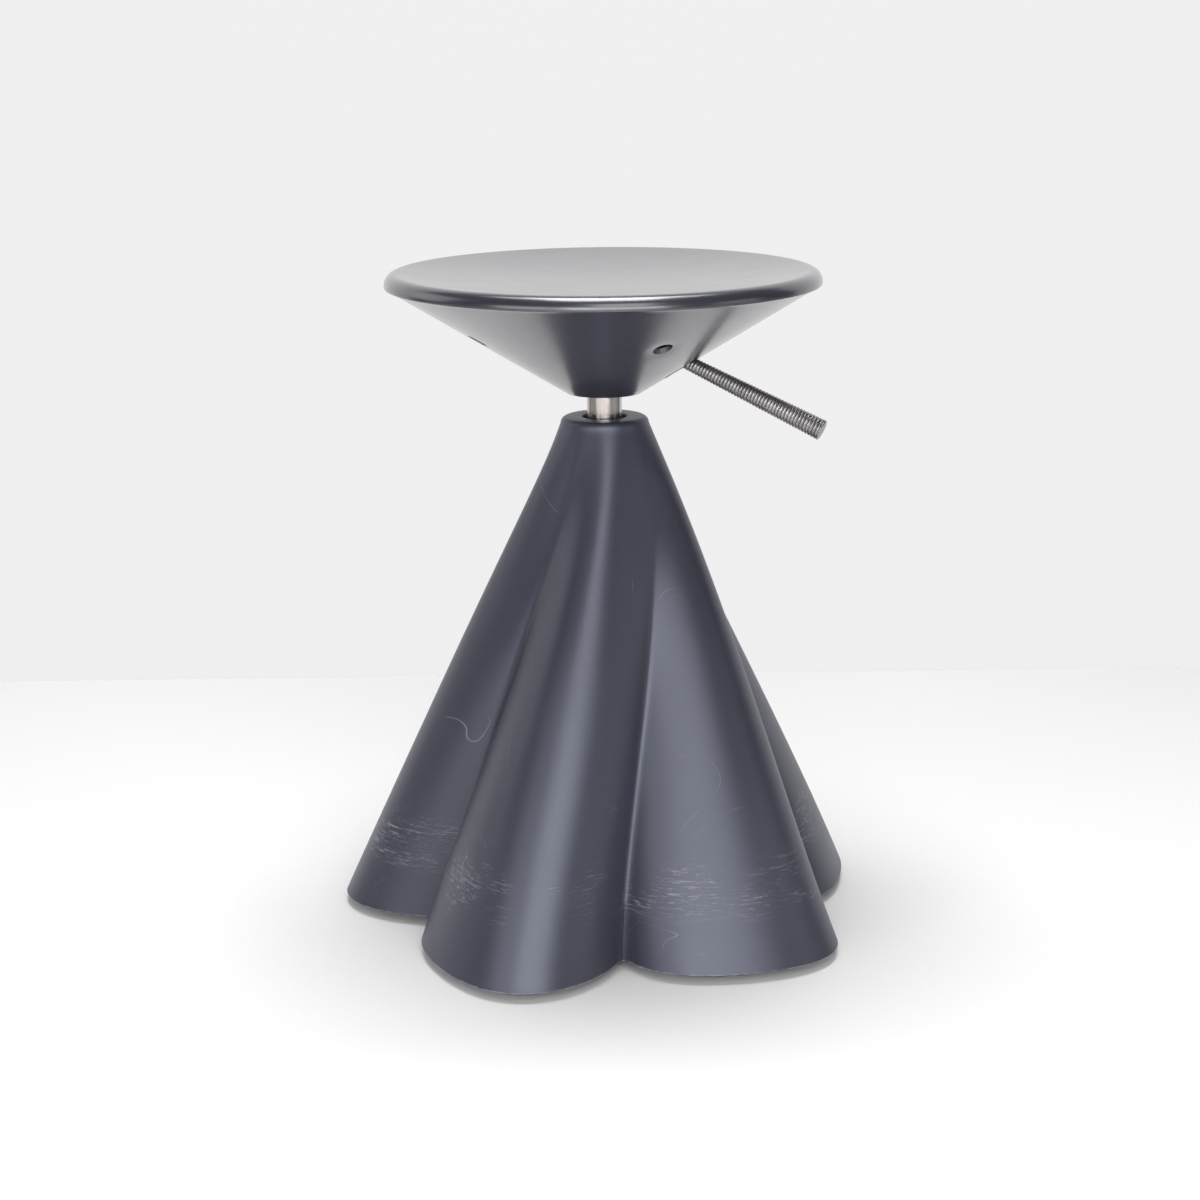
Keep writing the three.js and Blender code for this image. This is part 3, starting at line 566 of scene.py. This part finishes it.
def makeBottomPlate():
    inset = baseCut["wall"] + baseCut["plateRoom"]
    bevel = baseCut["plateBevel"]
    rows = [baseRow(plateHigh, level=plateLow, circle=0.0), baseRow(plateHigh, level=plateLow, circle=0.1)]
    sides = ((plateLow, bevel), (plateLow + bevel, 0), (plateHigh - bevel, 0), (plateHigh, bevel))
    for level, extra in sides:
        rows.append(baseRow(plateHigh, inset + extra, level))
    rows += [baseRow(plateHigh, level=plateHigh, circle=0.1), baseRow(plateHigh, level=plateHigh, circle=0.0)]
    return lobedPiece("bottomPlate", rows, finishes["blackSteel"], False)


settle(makeBaseShell(), "base", "base_plastic", "base_shell")
settle(makeBottomPlate(), "base", "black_steel", "bottom_plate")
print("base made")


topShape = {"columns": 288, "rimRound": 0.0095, "rimHeight": 0.011, "dishDepth": 0.010, "wall": 0.004,
            "overhang": 0.0025, "edge": 0.0006, "dishRows": 46}
coneLow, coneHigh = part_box("under_shell")
topRadius = (coneHigh[0] - coneLow[0]) / 2 + topShape["overhang"]
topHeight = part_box("seat_pan")[1][2]


def makeSeatPan():
    shape = topShape
    crest = topRadius - shape["rimRound"]
    centre = topHeight - shape["rimRound"]
    lean = math.atan(2 * shape["dishDepth"] / crest)
    joint = crest - shape["rimRound"] * math.sin(lean)
    jointHeight = centre + shape["rimRound"] * math.cos(lean)

    def dish(radius, drop):
        return jointHeight - drop - shape["dishDepth"] * (1 - (radius / joint) ** 2)

    radii = spaced(0.0, joint, shape["dishRows"])
    rimLow = topHeight - shape["rimHeight"]
    inner = shape["rimRound"] - shape["wall"]
    edge = shape["edge"]
    profile = [(radius, dish(radius, shape["wall"])) for radius in radii]
    profile += arcPoints((crest, centre), inner, 80, 0, 8)
    profile += [(topRadius - shape["wall"], rimLow), (topRadius - edge, rimLow),
                (topRadius - 0.3 * edge, rimLow + 0.3 * edge)]
    profile += arcPoints((crest, centre), shape["rimRound"], 0, 90 + math.degrees(lean), 22)
    profile += [(radius, dish(radius, 0)) for radius in reversed(radii[:-1])]
    mesh = turnedMesh("seatPan", profile, shape["columns"])
    mesh.materials.append(finishes["seatPlastic"])
    return placeMesh("seatPan", smoothMesh(mesh, 40))


coneShape = {"columns": 288, "wall": 0.0035, "hubRadius": 0.0295, "hubRound": 0.003, "holeRadius": 0.0155,
             "accessRadius": 0.0075, "dimpleWidth": 0.011, "dimpleDepth": 0.0007, "slotWidth": 0.017,
             "slotLow": -0.0252, "slotHigh": 0.0088, "slotReach": 0.014, "leverCrossing": 0.073,
             "spigotHeight": 0.004, "spigotPlay": 0.0012, "edge": 0.0005, "cutterStart": 0.02,
             "cutterStop": 0.008}
hubHeight = coneLow[2]
shellTop = topHeight - topShape["rimHeight"] - jointGap
shellTopRadius = topRadius - topShape["overhang"]
coneSlope = (shellTop - hubHeight) / (shellTopRadius - coneShape["hubRadius"])
coneAngle = math.atan(coneSlope)


def coneHeight(radius):
    return hubHeight + coneSlope * (radius - coneShape["hubRadius"])


def cutWith(piece, cutters):
    # Takes the cutters out of the piece and returns it as a plain mesh
    for cutter in cutters:
        modifier = piece.modifiers.new("cut", "BOOLEAN")
        modifier.operation, modifier.object, modifier.solver = "DIFFERENCE", cutter, "EXACT"
    graph = bpy.context.evaluated_depsgraph_get()
    result = bpy.data.meshes.new_from_object(piece.evaluated_get(graph))
    piece.modifiers.clear()
    old = piece.data
    piece.data = result
    bpy.data.meshes.remove(old)
    for cutter in cutters:
        bpy.data.objects.remove(cutter)
    return piece


def postCutter(name, centre, radius, low, high):
    profile = [(0, low), (radius, low), (radius, high), (0, high)]
    mesh = turnedMesh(name, profile, 64)
    mesh.transform(Matrix.Translation((centre[0], centre[1], 0)))
    return placeMesh(name, mesh)


def slotFrame():
    # Lies in the cone's wall where the lever crosses it; X runs up the wall
    crossing = coneShape["leverCrossing"]
    point = leverWay * crossing
    point.z = coneHeight(crossing)
    up = leverWay * math.cos(coneAngle) + Vector((0, 0, math.sin(coneAngle)))
    side = Vector((0, 0, 1)).cross(leverWay)
    out = up.cross(side)
    turn = Matrix((up, side, out)).transposed().to_4x4()
    return Matrix.Translation(point) @ turn


def slotCutter():
    low, high, end = coneShape["slotLow"], coneShape["slotHigh"], coneShape["slotWidth"] / 2
    outline = arcPoints((high - end, 0), end, -90, 90, 20) + arcPoints((low + end, 0), end, 90, 270, 20)
    count = len(outline)
    reach = coneShape["slotReach"]
    points = [(x, y, z) for z in (-reach, reach) for x, y in outline]
    faces = [tuple(reversed(range(count))), tuple(range(count, 2 * count))]
    faces += [(i, (i + 1) % count, count + (i + 1) % count, count + i) for i in range(count)]
    mesh = bpy.data.meshes.new("slotCutter")
    mesh.from_pydata(points, [], faces)
    mesh.transform(slotFrame())
    return placeMesh("slotCutter", mesh)


def makeUnderShell():
    shape = coneShape
    rise = shape["wall"] / math.cos(coneAngle)
    spigotOuter = topRadius - topShape["wall"] - shape["spigotPlay"]
    spigotInner = spigotOuter - shape["wall"]
    hubTop = hubHeight + shape["wall"]
    innerStart = shape["hubRadius"] + (hubTop - hubHeight - rise) / coneSlope
    hubCentre = (shape["hubRadius"] - shape["hubRound"], hubHeight + shape["hubRound"])
    hubArc = arcPoints(hubCentre, shape["hubRound"], -90, -90 + math.degrees(coneAngle) + 4, 6)
    start = hubArc[-1][0] + 2 * mm
    edge = shape["edge"]
    profile = [(shape["holeRadius"], hubHeight + edge), (shape["holeRadius"] + edge, hubHeight)] + hubArc
    profile += [(radius, coneHeight(radius)) for radius in spaced(start, shellTopRadius - edge, 60)]
    profile += [(shellTopRadius, shellTop - edge * 0.3), (shellTopRadius - edge, shellTop)]
    spigotTop = shellTop + shape["spigotHeight"]
    profile += [(spigotOuter, shellTop), (spigotOuter, spigotTop), (spigotInner, spigotTop)]
    innerRadii = reversed(spaced(innerStart, spigotInner, 50))
    profile += [(radius, coneHeight(radius) + rise) for radius in innerRadii]
    profile += [(shape["holeRadius"], hubTop)]
    mesh = turnedMesh("underShell", profile, shape["columns"])
    centres = [middle(node) for node in screwNodes]
    for point in mesh.vertices:
        near = min(math.hypot(point.co.x - c.x, point.co.y - c.y) for c in centres)
        if near < 2.2 * shape["dimpleWidth"]:
            sink = shape["dimpleDepth"] * math.exp(-((near / shape["dimpleWidth"]) ** 4))
            point.co.z += sink
    shell = placeMesh("underShell", mesh)
    start, stop = hubHeight + shape["cutterStart"], shellTop - shape["cutterStop"]
    cutters = [postCutter(f"accessCutter{i}", centre, shape["accessRadius"], start, stop)
               for i, centre in enumerate(centres)]
    cutWith(shell, cutters + [slotCutter()])
    shell.data.materials.clear()
    shell.data.materials.append(finishes["seatPlastic"])
    smoothMesh(shell.data, 32)
    return shell


settle(makeSeatPan(), "top", "seat_plastic", "seat_pan")
settle(makeUnderShell(), "top", "seat_plastic", "under_shell")
print("top made")


spindleShape = {"columns": 96, "radius": 0.014, "bore": 0.0124, "neck": 0.013, "edge": 0.0006,
                "pinHole": 0.0033, "cap": 0.003}
bushShape = {"columns": 96, "bore": 0.0143, "outer": 0.0227, "flange": 0.001, "edge": 0.0005}


def makeSpindle():
    low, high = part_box("gas_cylinder")[0][2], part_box("gas_cylinder")[1][2]
    shape = spindleShape
    radius, bore, edge = shape["radius"], shape["bore"], shape["edge"]
    taperLow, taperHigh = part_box("taper_socket")[0][2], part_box("taper_socket")[1][2]
    neck, pinHole, capLow = shape["neck"], shape["pinHole"], high - shape["cap"]
    profile = [(bore, low), (radius - edge, low), (radius, low + edge), (radius, taperLow), (neck, taperHigh),
               (neck, high - edge), (neck - edge, high), (pinHole, high), (pinHole, capLow),
               (bore - mm, capLow), (bore - mm, taperLow - 4 * mm), (bore, taperLow - 6 * mm)]
    return turned("spindle", profile, shape["columns"], finishes["zincSpindle"])


def makeBush():
    low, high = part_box("guide_bush")
    bore, outer, edge, flange = bushShape["bore"], bushShape["outer"], bushShape["edge"], high[0]
    bottom, top = low[2], high[2]
    flangeLow = top - bushShape["flange"]
    profile = [(bore, bottom + edge), (bore + edge, bottom), (outer, bottom), (outer, flangeLow)]
    profile += [(flange, flangeLow), (flange, top - edge), (flange - edge, top)]
    profile += [(bore + edge, top), (bore, top - edge)]
    return turned("guideBush", profile, bushShape["columns"], finishes["bushPlastic"])


settle(makeSpindle(), "top", "zinc_spindle", "gas_cylinder")
settle(makeBush(), "base", "bush_plastic", "guide_bush")
print("spindle and bush made")


gripShape = {"length": 0.125, "startRadius": 0.0057, "tipRadius": 0.0083, "pitch": 0.00275,
             "ringDepth": 0.00075, "ringPower": 0.75, "chamfer": 0.0009, "endPlain": 0.0006, "droop": 23.7,
             "bendOut": 0.020, "tipOut": 0.1803, "bore": 0.0038, "boreStop": 0.0097, "endRing": 0.004,
             "columns": 64, "rowsPerRing": 12}


def gripFrame():
    # Z runs outwards along the lever from the bend
    droop = math.radians(gripShape["droop"])
    bend = leverWay * gripShape["bendOut"]
    bend.z = leverPivot.z
    out = leverWay * math.cos(droop) - Vector((0, 0, math.sin(droop)))
    side = Vector((0, 0, 1)).cross(leverWay)
    turn = Matrix((side.cross(out), side, out)).transposed()
    leverLength = (gripShape["tipOut"] - gripShape["bendOut"]) / math.cos(droop)
    return Matrix.Translation(bend) @ turn.to_4x4(), leverLength


def ringTree(name, sizes, material):
    # Round crests and narrow grooves, one per pitch, on a tapering rod
    tree, entry = startTree(name, sizes)
    calc = calcIn(tree)
    size = {key: entry.outputs[key] for key in sizes}
    along, across = readAttribute(tree, "along"), readAttribute(tree, "across")
    start = calc("SUBTRACT", size["leverLength"], size["length"])
    height = calc("ADD", start, calc("MULTIPLY", along, size["length"]))
    grow = calc("MULTIPLY", calc("SUBTRACT", size["tipRadius"], size["startRadius"]), along)
    radius = calc("ADD", size["startRadius"], grow)
    beat = calc("FRACT", calc("DIVIDE", calc("MULTIPLY", along, size["length"]), size["pitch"]))
    wave = calc("ABSOLUTE", calc("SINE", calc("MULTIPLY", beat, math.pi)))
    dip = calc("SUBTRACT", 1.0, calc("POWER", wave, gripShape["ringPower"]))
    depth = calc("MULTIPLY", dip, size["ringDepth"])
    ringed = calc("SUBTRACT", radius, calc("MULTIPLY", depth, readAttribute(tree, "ringed")))
    ringed = calc("SUBTRACT", ringed, readAttribute(tree, "inset"))
    plain = readAttribute(tree, "circle")
    roundness = readAttribute(tree, "roundness")
    first = calc("MULTIPLY", ringed, calc("SUBTRACT", 1.0, roundness))
    final = calc("ADD", first, calc("MULTIPLY", plain, roundness))
    angle = calc("MULTIPLY", across, 2 * math.pi)
    spot = tree.nodes.new("ShaderNodeCombineXYZ")
    tree.links.new(calc("MULTIPLY", final, calc("COSINE", angle)), spot.inputs["X"])
    tree.links.new(calc("MULTIPLY", final, calc("SINE", angle)), spot.inputs["Y"])
    tree.links.new(height, spot.inputs["Z"])
    moved = addNode(tree, "GeometryNodeSetPosition", Geometry=entry.outputs["Geometry"])
    tree.links.new(spot.outputs[0], moved.inputs["Position"])
    merged = addNode(tree, "GeometryNodeMergeByDistance", Geometry=moved.outputs[0])
    merged.inputs["Distance"].default_value = 1e-6
    finishTree(tree, merged.outputs[0], material)
    return tree


def gripRow(along, inset=0.0, circle=None, ringed=1.0):
    return {"along": along, "inset": inset, "circle": circle or 0.0,
            "roundness": 0.0 if circle is None else 1.0, "ringed": ringed}


def makeGrip():
    shape = gripShape
    frameMatrix, leverLength = gripFrame()
    rings = shape["length"] / shape["pitch"]
    count = int(rings * shape["rowsPerRing"])
    length = shape["length"]
    bore, boreEnd = shape["bore"], 1 - shape["boreStop"] / length
    rows = [gripRow(0.0, circle=bore), gripRow(0.0, inset=0.3 * mm)]
    lastRing = 1 - (shape["chamfer"] + shape["endPlain"]) / length
    rows += [gripRow(along) for along in spaced(0.3 * mm / length, lastRing, count)]
    rows.append(gripRow(1 - shape["chamfer"] / length, ringed=0.0))
    rows.append(gripRow(1 - 0.4 * shape["chamfer"] / length, inset=0.25 * shape["chamfer"], ringed=0.0))
    rows.append(gripRow(1.0, inset=shape["chamfer"], ringed=0.0))
    rows += [gripRow(1.0, circle=shape["endRing"]), gripRow(1.0, circle=0.0)]
    rows += [gripRow(boreEnd, circle=0.0), gripRow(boreEnd, circle=bore)]
    sizes = {key: shape[key] for key in ("length", "startRadius", "tipRadius", "pitch", "ringDepth")}
    sizes["leverLength"] = leverLength
    tree = ringTree("gripTree", sizes, finishes["ribbedGrip"])
    piece = runTree("leverGrip", gridMesh("leverGrip", rows, shape["columns"], True), tree, sizes, 60)
    piece.data.transform(frameMatrix)
    return piece


settle(makeGrip(), "lever", "ribbed_grip", "lever_grip")
print("grip made")


def copiesTree(name, sizes, original, material):
    tree, entry = startTree(name, sizes)
    source = tree.nodes.new("GeometryNodeObjectInfo")
    source.inputs["Object"].default_value = original
    placed = addNode(tree, "GeometryNodeInstanceOnPoints", Points=entry.outputs["Geometry"])
    tree.links.new(source.outputs["Geometry"], placed.inputs["Instance"])
    tree.links.new(entry.outputs["size"], placed.inputs["Scale"])
    finishTree(tree, placed.outputs[0], material)
    return tree


def copiesAt(name, places, original, material):
    mesh = bpy.data.meshes.new(name)
    mesh.from_pydata([tuple(place) for place in places], [], [])
    sizes = {"size": 1.0}
    tree = copiesTree(name + "Tree", sizes, original, material)
    piece = runTree(name, mesh, tree, sizes, 35)
    bpy.data.objects.remove(original)
    return piece


footShape = {"radius": 0.014, "recess": 0.0053, "hole": 0.0028, "edge": 0.0012, "seat": 0.0046,
             "columns": 48}
screwShape = {"footHead": 0.005, "footShank": 0.0025, "footHeadHeight": 0.0023, "plateHead": 0.0056,
              "plateShank": 0.003, "plateHeadHeight": 0.0034, "socketWidth": 0.0017,
              "socketDepth": 0.0018, "columns": 36}


def footCentres():
    places = []
    for node in footNodes:
        spot = middle(node)
        spot.z = floorLevel
        places.append(spot)
    return places


def makeFeet():
    shape = footShape
    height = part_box("foot_1")[1][2] - floorLevel
    radius, edge, recess, hole = shape["radius"], shape["edge"], shape["recess"], shape["hole"]
    seat = shape["seat"]
    profile = [(recess, 0), (radius - edge, 0)] + arcPoints((radius - edge, edge), edge, -70, 0, 4)
    profile += [(radius - 0.4 * mm, height - edge), (radius - edge, height), (hole, height)]
    profile += [(hole, seat), (recess, seat)]
    foot = turned("footPattern", profile, shape["columns"], finishes["blackRubber"])
    return copiesAt("feet", footCentres(), foot, finishes["blackRubber"])


def screwMesh(name, head, shank, headLow, headHigh, top, columns):
    # Domed head downwards with a hexagon socket, shank upwards
    socket, depth = screwShape["socketWidth"], screwShape["socketDepth"]
    edge = 0.5 * mm
    profile = [(0, headLow + depth), (socket, headLow + depth), (socket, headLow), (head - 2 * edge, headLow),
               (head - 0.5 * edge, headLow + 0.5 * edge), (head, headLow + 1.6 * edge), (head, headHigh),
               (shank, headHigh), (shank, top - edge), (shank - edge, top), (0, top)]
    mesh = turnedMesh(name, profile, columns)
    for point in mesh.vertices:
        spread = math.hypot(point.co.x, point.co.y)
        if 0 < spread < socket * 1.01:
            turn = math.atan2(point.co.y, point.co.x) % (math.pi / 3) - math.pi / 6
            grow = math.cos(math.pi / 6) / math.cos(turn) * 1.12
            point.co.x *= grow
            point.co.y *= grow
    mesh.materials.append(finishes["platedSteel"])
    return placeMesh(name, smoothMesh(mesh, 30))


def makeScrews(name, nodes, kind):
    low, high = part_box(nodes[0])
    head, shank, headHigh = (screwShape[kind + part] for part in ("Head", "Shank", "HeadHeight"))
    columns = screwShape["columns"]
    pattern = screwMesh(name + "Pattern", head, shank, low[2], low[2] + headHigh, high[2], columns)
    places = [Vector((middle(node).x, middle(node).y, 0)) for node in nodes]
    return copiesAt(name, places, pattern, finishes["platedSteel"])


settle(makeFeet(), "base", "rubber", *footNodes)
settle(makeScrews("footScrews", footScrewNodes, "foot"), "base", "plated_steel", *footScrewNodes)
settle(makeScrews("plateScrews", screwNodes, "plate"), "top", "plated_steel", *screwNodes)
print("feet and screws made")


slotOf = {entry["node"]: entry["material_slot"] for entry in record["subparts"]}
for node, piece in frame["nodes"].items():
    piece.data.materials.clear()
    piece.data.materials.append(finishes[slotFinish[slotOf[node]]])
print("inner pieces finished")


cameraSetup = {"distance": 1.8887, "height": 0.7516, "pitch": 14.52, "yaw": -0.16, "roll": -0.63,
               "lens": 71.6}
stageSetup = {"floorHalf": 4, "floorFront": -5, "floorEnd": 0.68, "floorTurn": 0.3, "floorColor": 0.80,
              "roughness": 0.8, "wallBehind": 3.0, "wallHalf": 6, "wallDrop": 2.0, "wallTop": 4,
              "wallGlow": 0.86}
lights = {
    "overhead": {"turn": 0, "lift": 90, "power": 42, "size": (1.2, 1.2)},
    "frontRight": {"turn": 6, "lift": 14, "power": 32, "size": (2.2, 0.9)},
    "frontRightHigh": {"turn": 10, "lift": 40, "power": 11, "size": (1.1, 0.9)},
    "frontLeft": {"turn": -18, "lift": 12, "power": 5, "size": (1.1, 0.9)},
    "left": {"turn": -42, "lift": 12, "power": 9, "size": (1.1, 0.9)},
    "farLeft": {"turn": -100, "lift": 24, "power": 6, "size": (1.1, 1.4)},
    "right": {"turn": 70, "lift": 12, "power": 3, "size": (1.1, 0.9)},
    "behindAbove": {"turn": 180, "lift": 79, "power": 16, "size": (2.0, 0.5)},
}
lightDome = {"radius": 2.4, "centre": (0, 0, 0.2), "air": 0.0}


def makeCamera():
    setup = cameraSetup
    pitch, yaw, roll = (math.radians(setup[key]) for key in ("pitch", "yaw", "roll"))
    look = Vector((math.sin(yaw) * math.cos(pitch), math.cos(yaw) * math.cos(pitch), -math.sin(pitch)))
    camera = bpy.data.objects.new("studioCamera", bpy.data.cameras.new("studioCamera"))
    bpy.context.scene.collection.objects.link(camera)
    camera.data.sensor_width = 36
    camera.data.lens = setup["lens"]
    camera.data.clip_start, camera.data.clip_end = 0.05, 30
    camera.location = (0, -setup["distance"], setup["height"] + floorLevel)
    camera.rotation_mode = "QUATERNION"
    camera.rotation_quaternion = look.to_track_quat("-Z", "Y") @ Quaternion((0, 0, 1), roll)
    bpy.context.scene.camera = camera


def stagePlane(name, corners, shade, glow=0.0):
    mesh = bpy.data.meshes.new(name)
    mesh.from_pydata(corners, [], [(0, 1, 2, 3)])
    finish = bpy.data.materials.new(name)
    finish.use_nodes = True
    shader = finish.node_tree.nodes["Principled BSDF"]
    shader.inputs["Base Color"].default_value = (shade, shade, shade, 1)
    shader.inputs["Roughness"].default_value = stageSetup["roughness"]
    shader.inputs["Emission Color"].default_value = (1, 1, 1, 1)
    shader.inputs["Emission Strength"].default_value = glow
    mesh.materials.append(finish)
    plane = placeMesh(name, mesh)


def makeStage():
    # The floor ends where the wall seems to meet it; the glowing wall itself stands further back
    half, front, end = (stageSetup[key] for key in ("floorHalf", "floorFront", "floorEnd"))
    slant = math.tan(math.radians(stageSetup["floorTurn"])) * half
    level = floorLevel
    floor = [(-half, front, level), (half, front, level)]
    floor += [(half, end + slant, level), (-half, end - slant, level)]
    stagePlane("studioFloor", floor, stageSetup["floorColor"])
    side, back, high = (stageSetup[key] for key in ("wallHalf", "wallBehind", "wallTop"))
    low = level - stageSetup["wallDrop"]
    wall = [(-side, back, low), (side, back, low), (side, back, high), (-side, back, high)]
    stagePlane("studioWall", wall, 0.0, stageSetup["wallGlow"])


def makeLights():
    for name, setup in lights.items():
        data = bpy.data.lights.new(name, "AREA")
        data.shape = "RECTANGLE"
        data.size, data.size_y = setup["size"]
        data.energy = setup["power"]
        lamp = bpy.data.objects.new(name, data)
        lamp.visible_camera = False
        bpy.context.scene.collection.objects.link(lamp)
        turn, lift = math.radians(setup["turn"]), math.radians(setup["lift"])
        way = Vector((math.cos(lift) * math.sin(turn), -math.cos(lift) * math.cos(turn), math.sin(lift)))
        lamp.location = Vector(lightDome["centre"]) + lightDome["radius"] * way
        lamp.rotation_euler = way.to_track_quat("Z", "Y").to_euler()
    world = bpy.data.worlds.new("studioAir")
    world.use_nodes = True
    world.node_tree.nodes["Background"].inputs["Color"].default_value = (0.9, 0.93, 1.0, 1)
    world.node_tree.nodes["Background"].inputs["Strength"].default_value = lightDome["air"]
    bpy.context.scene.world = world


makeCamera()
makeStage()
makeLights()
bpy.context.scene.view_settings.view_transform = "Standard"
print("camera, stage and lights made")
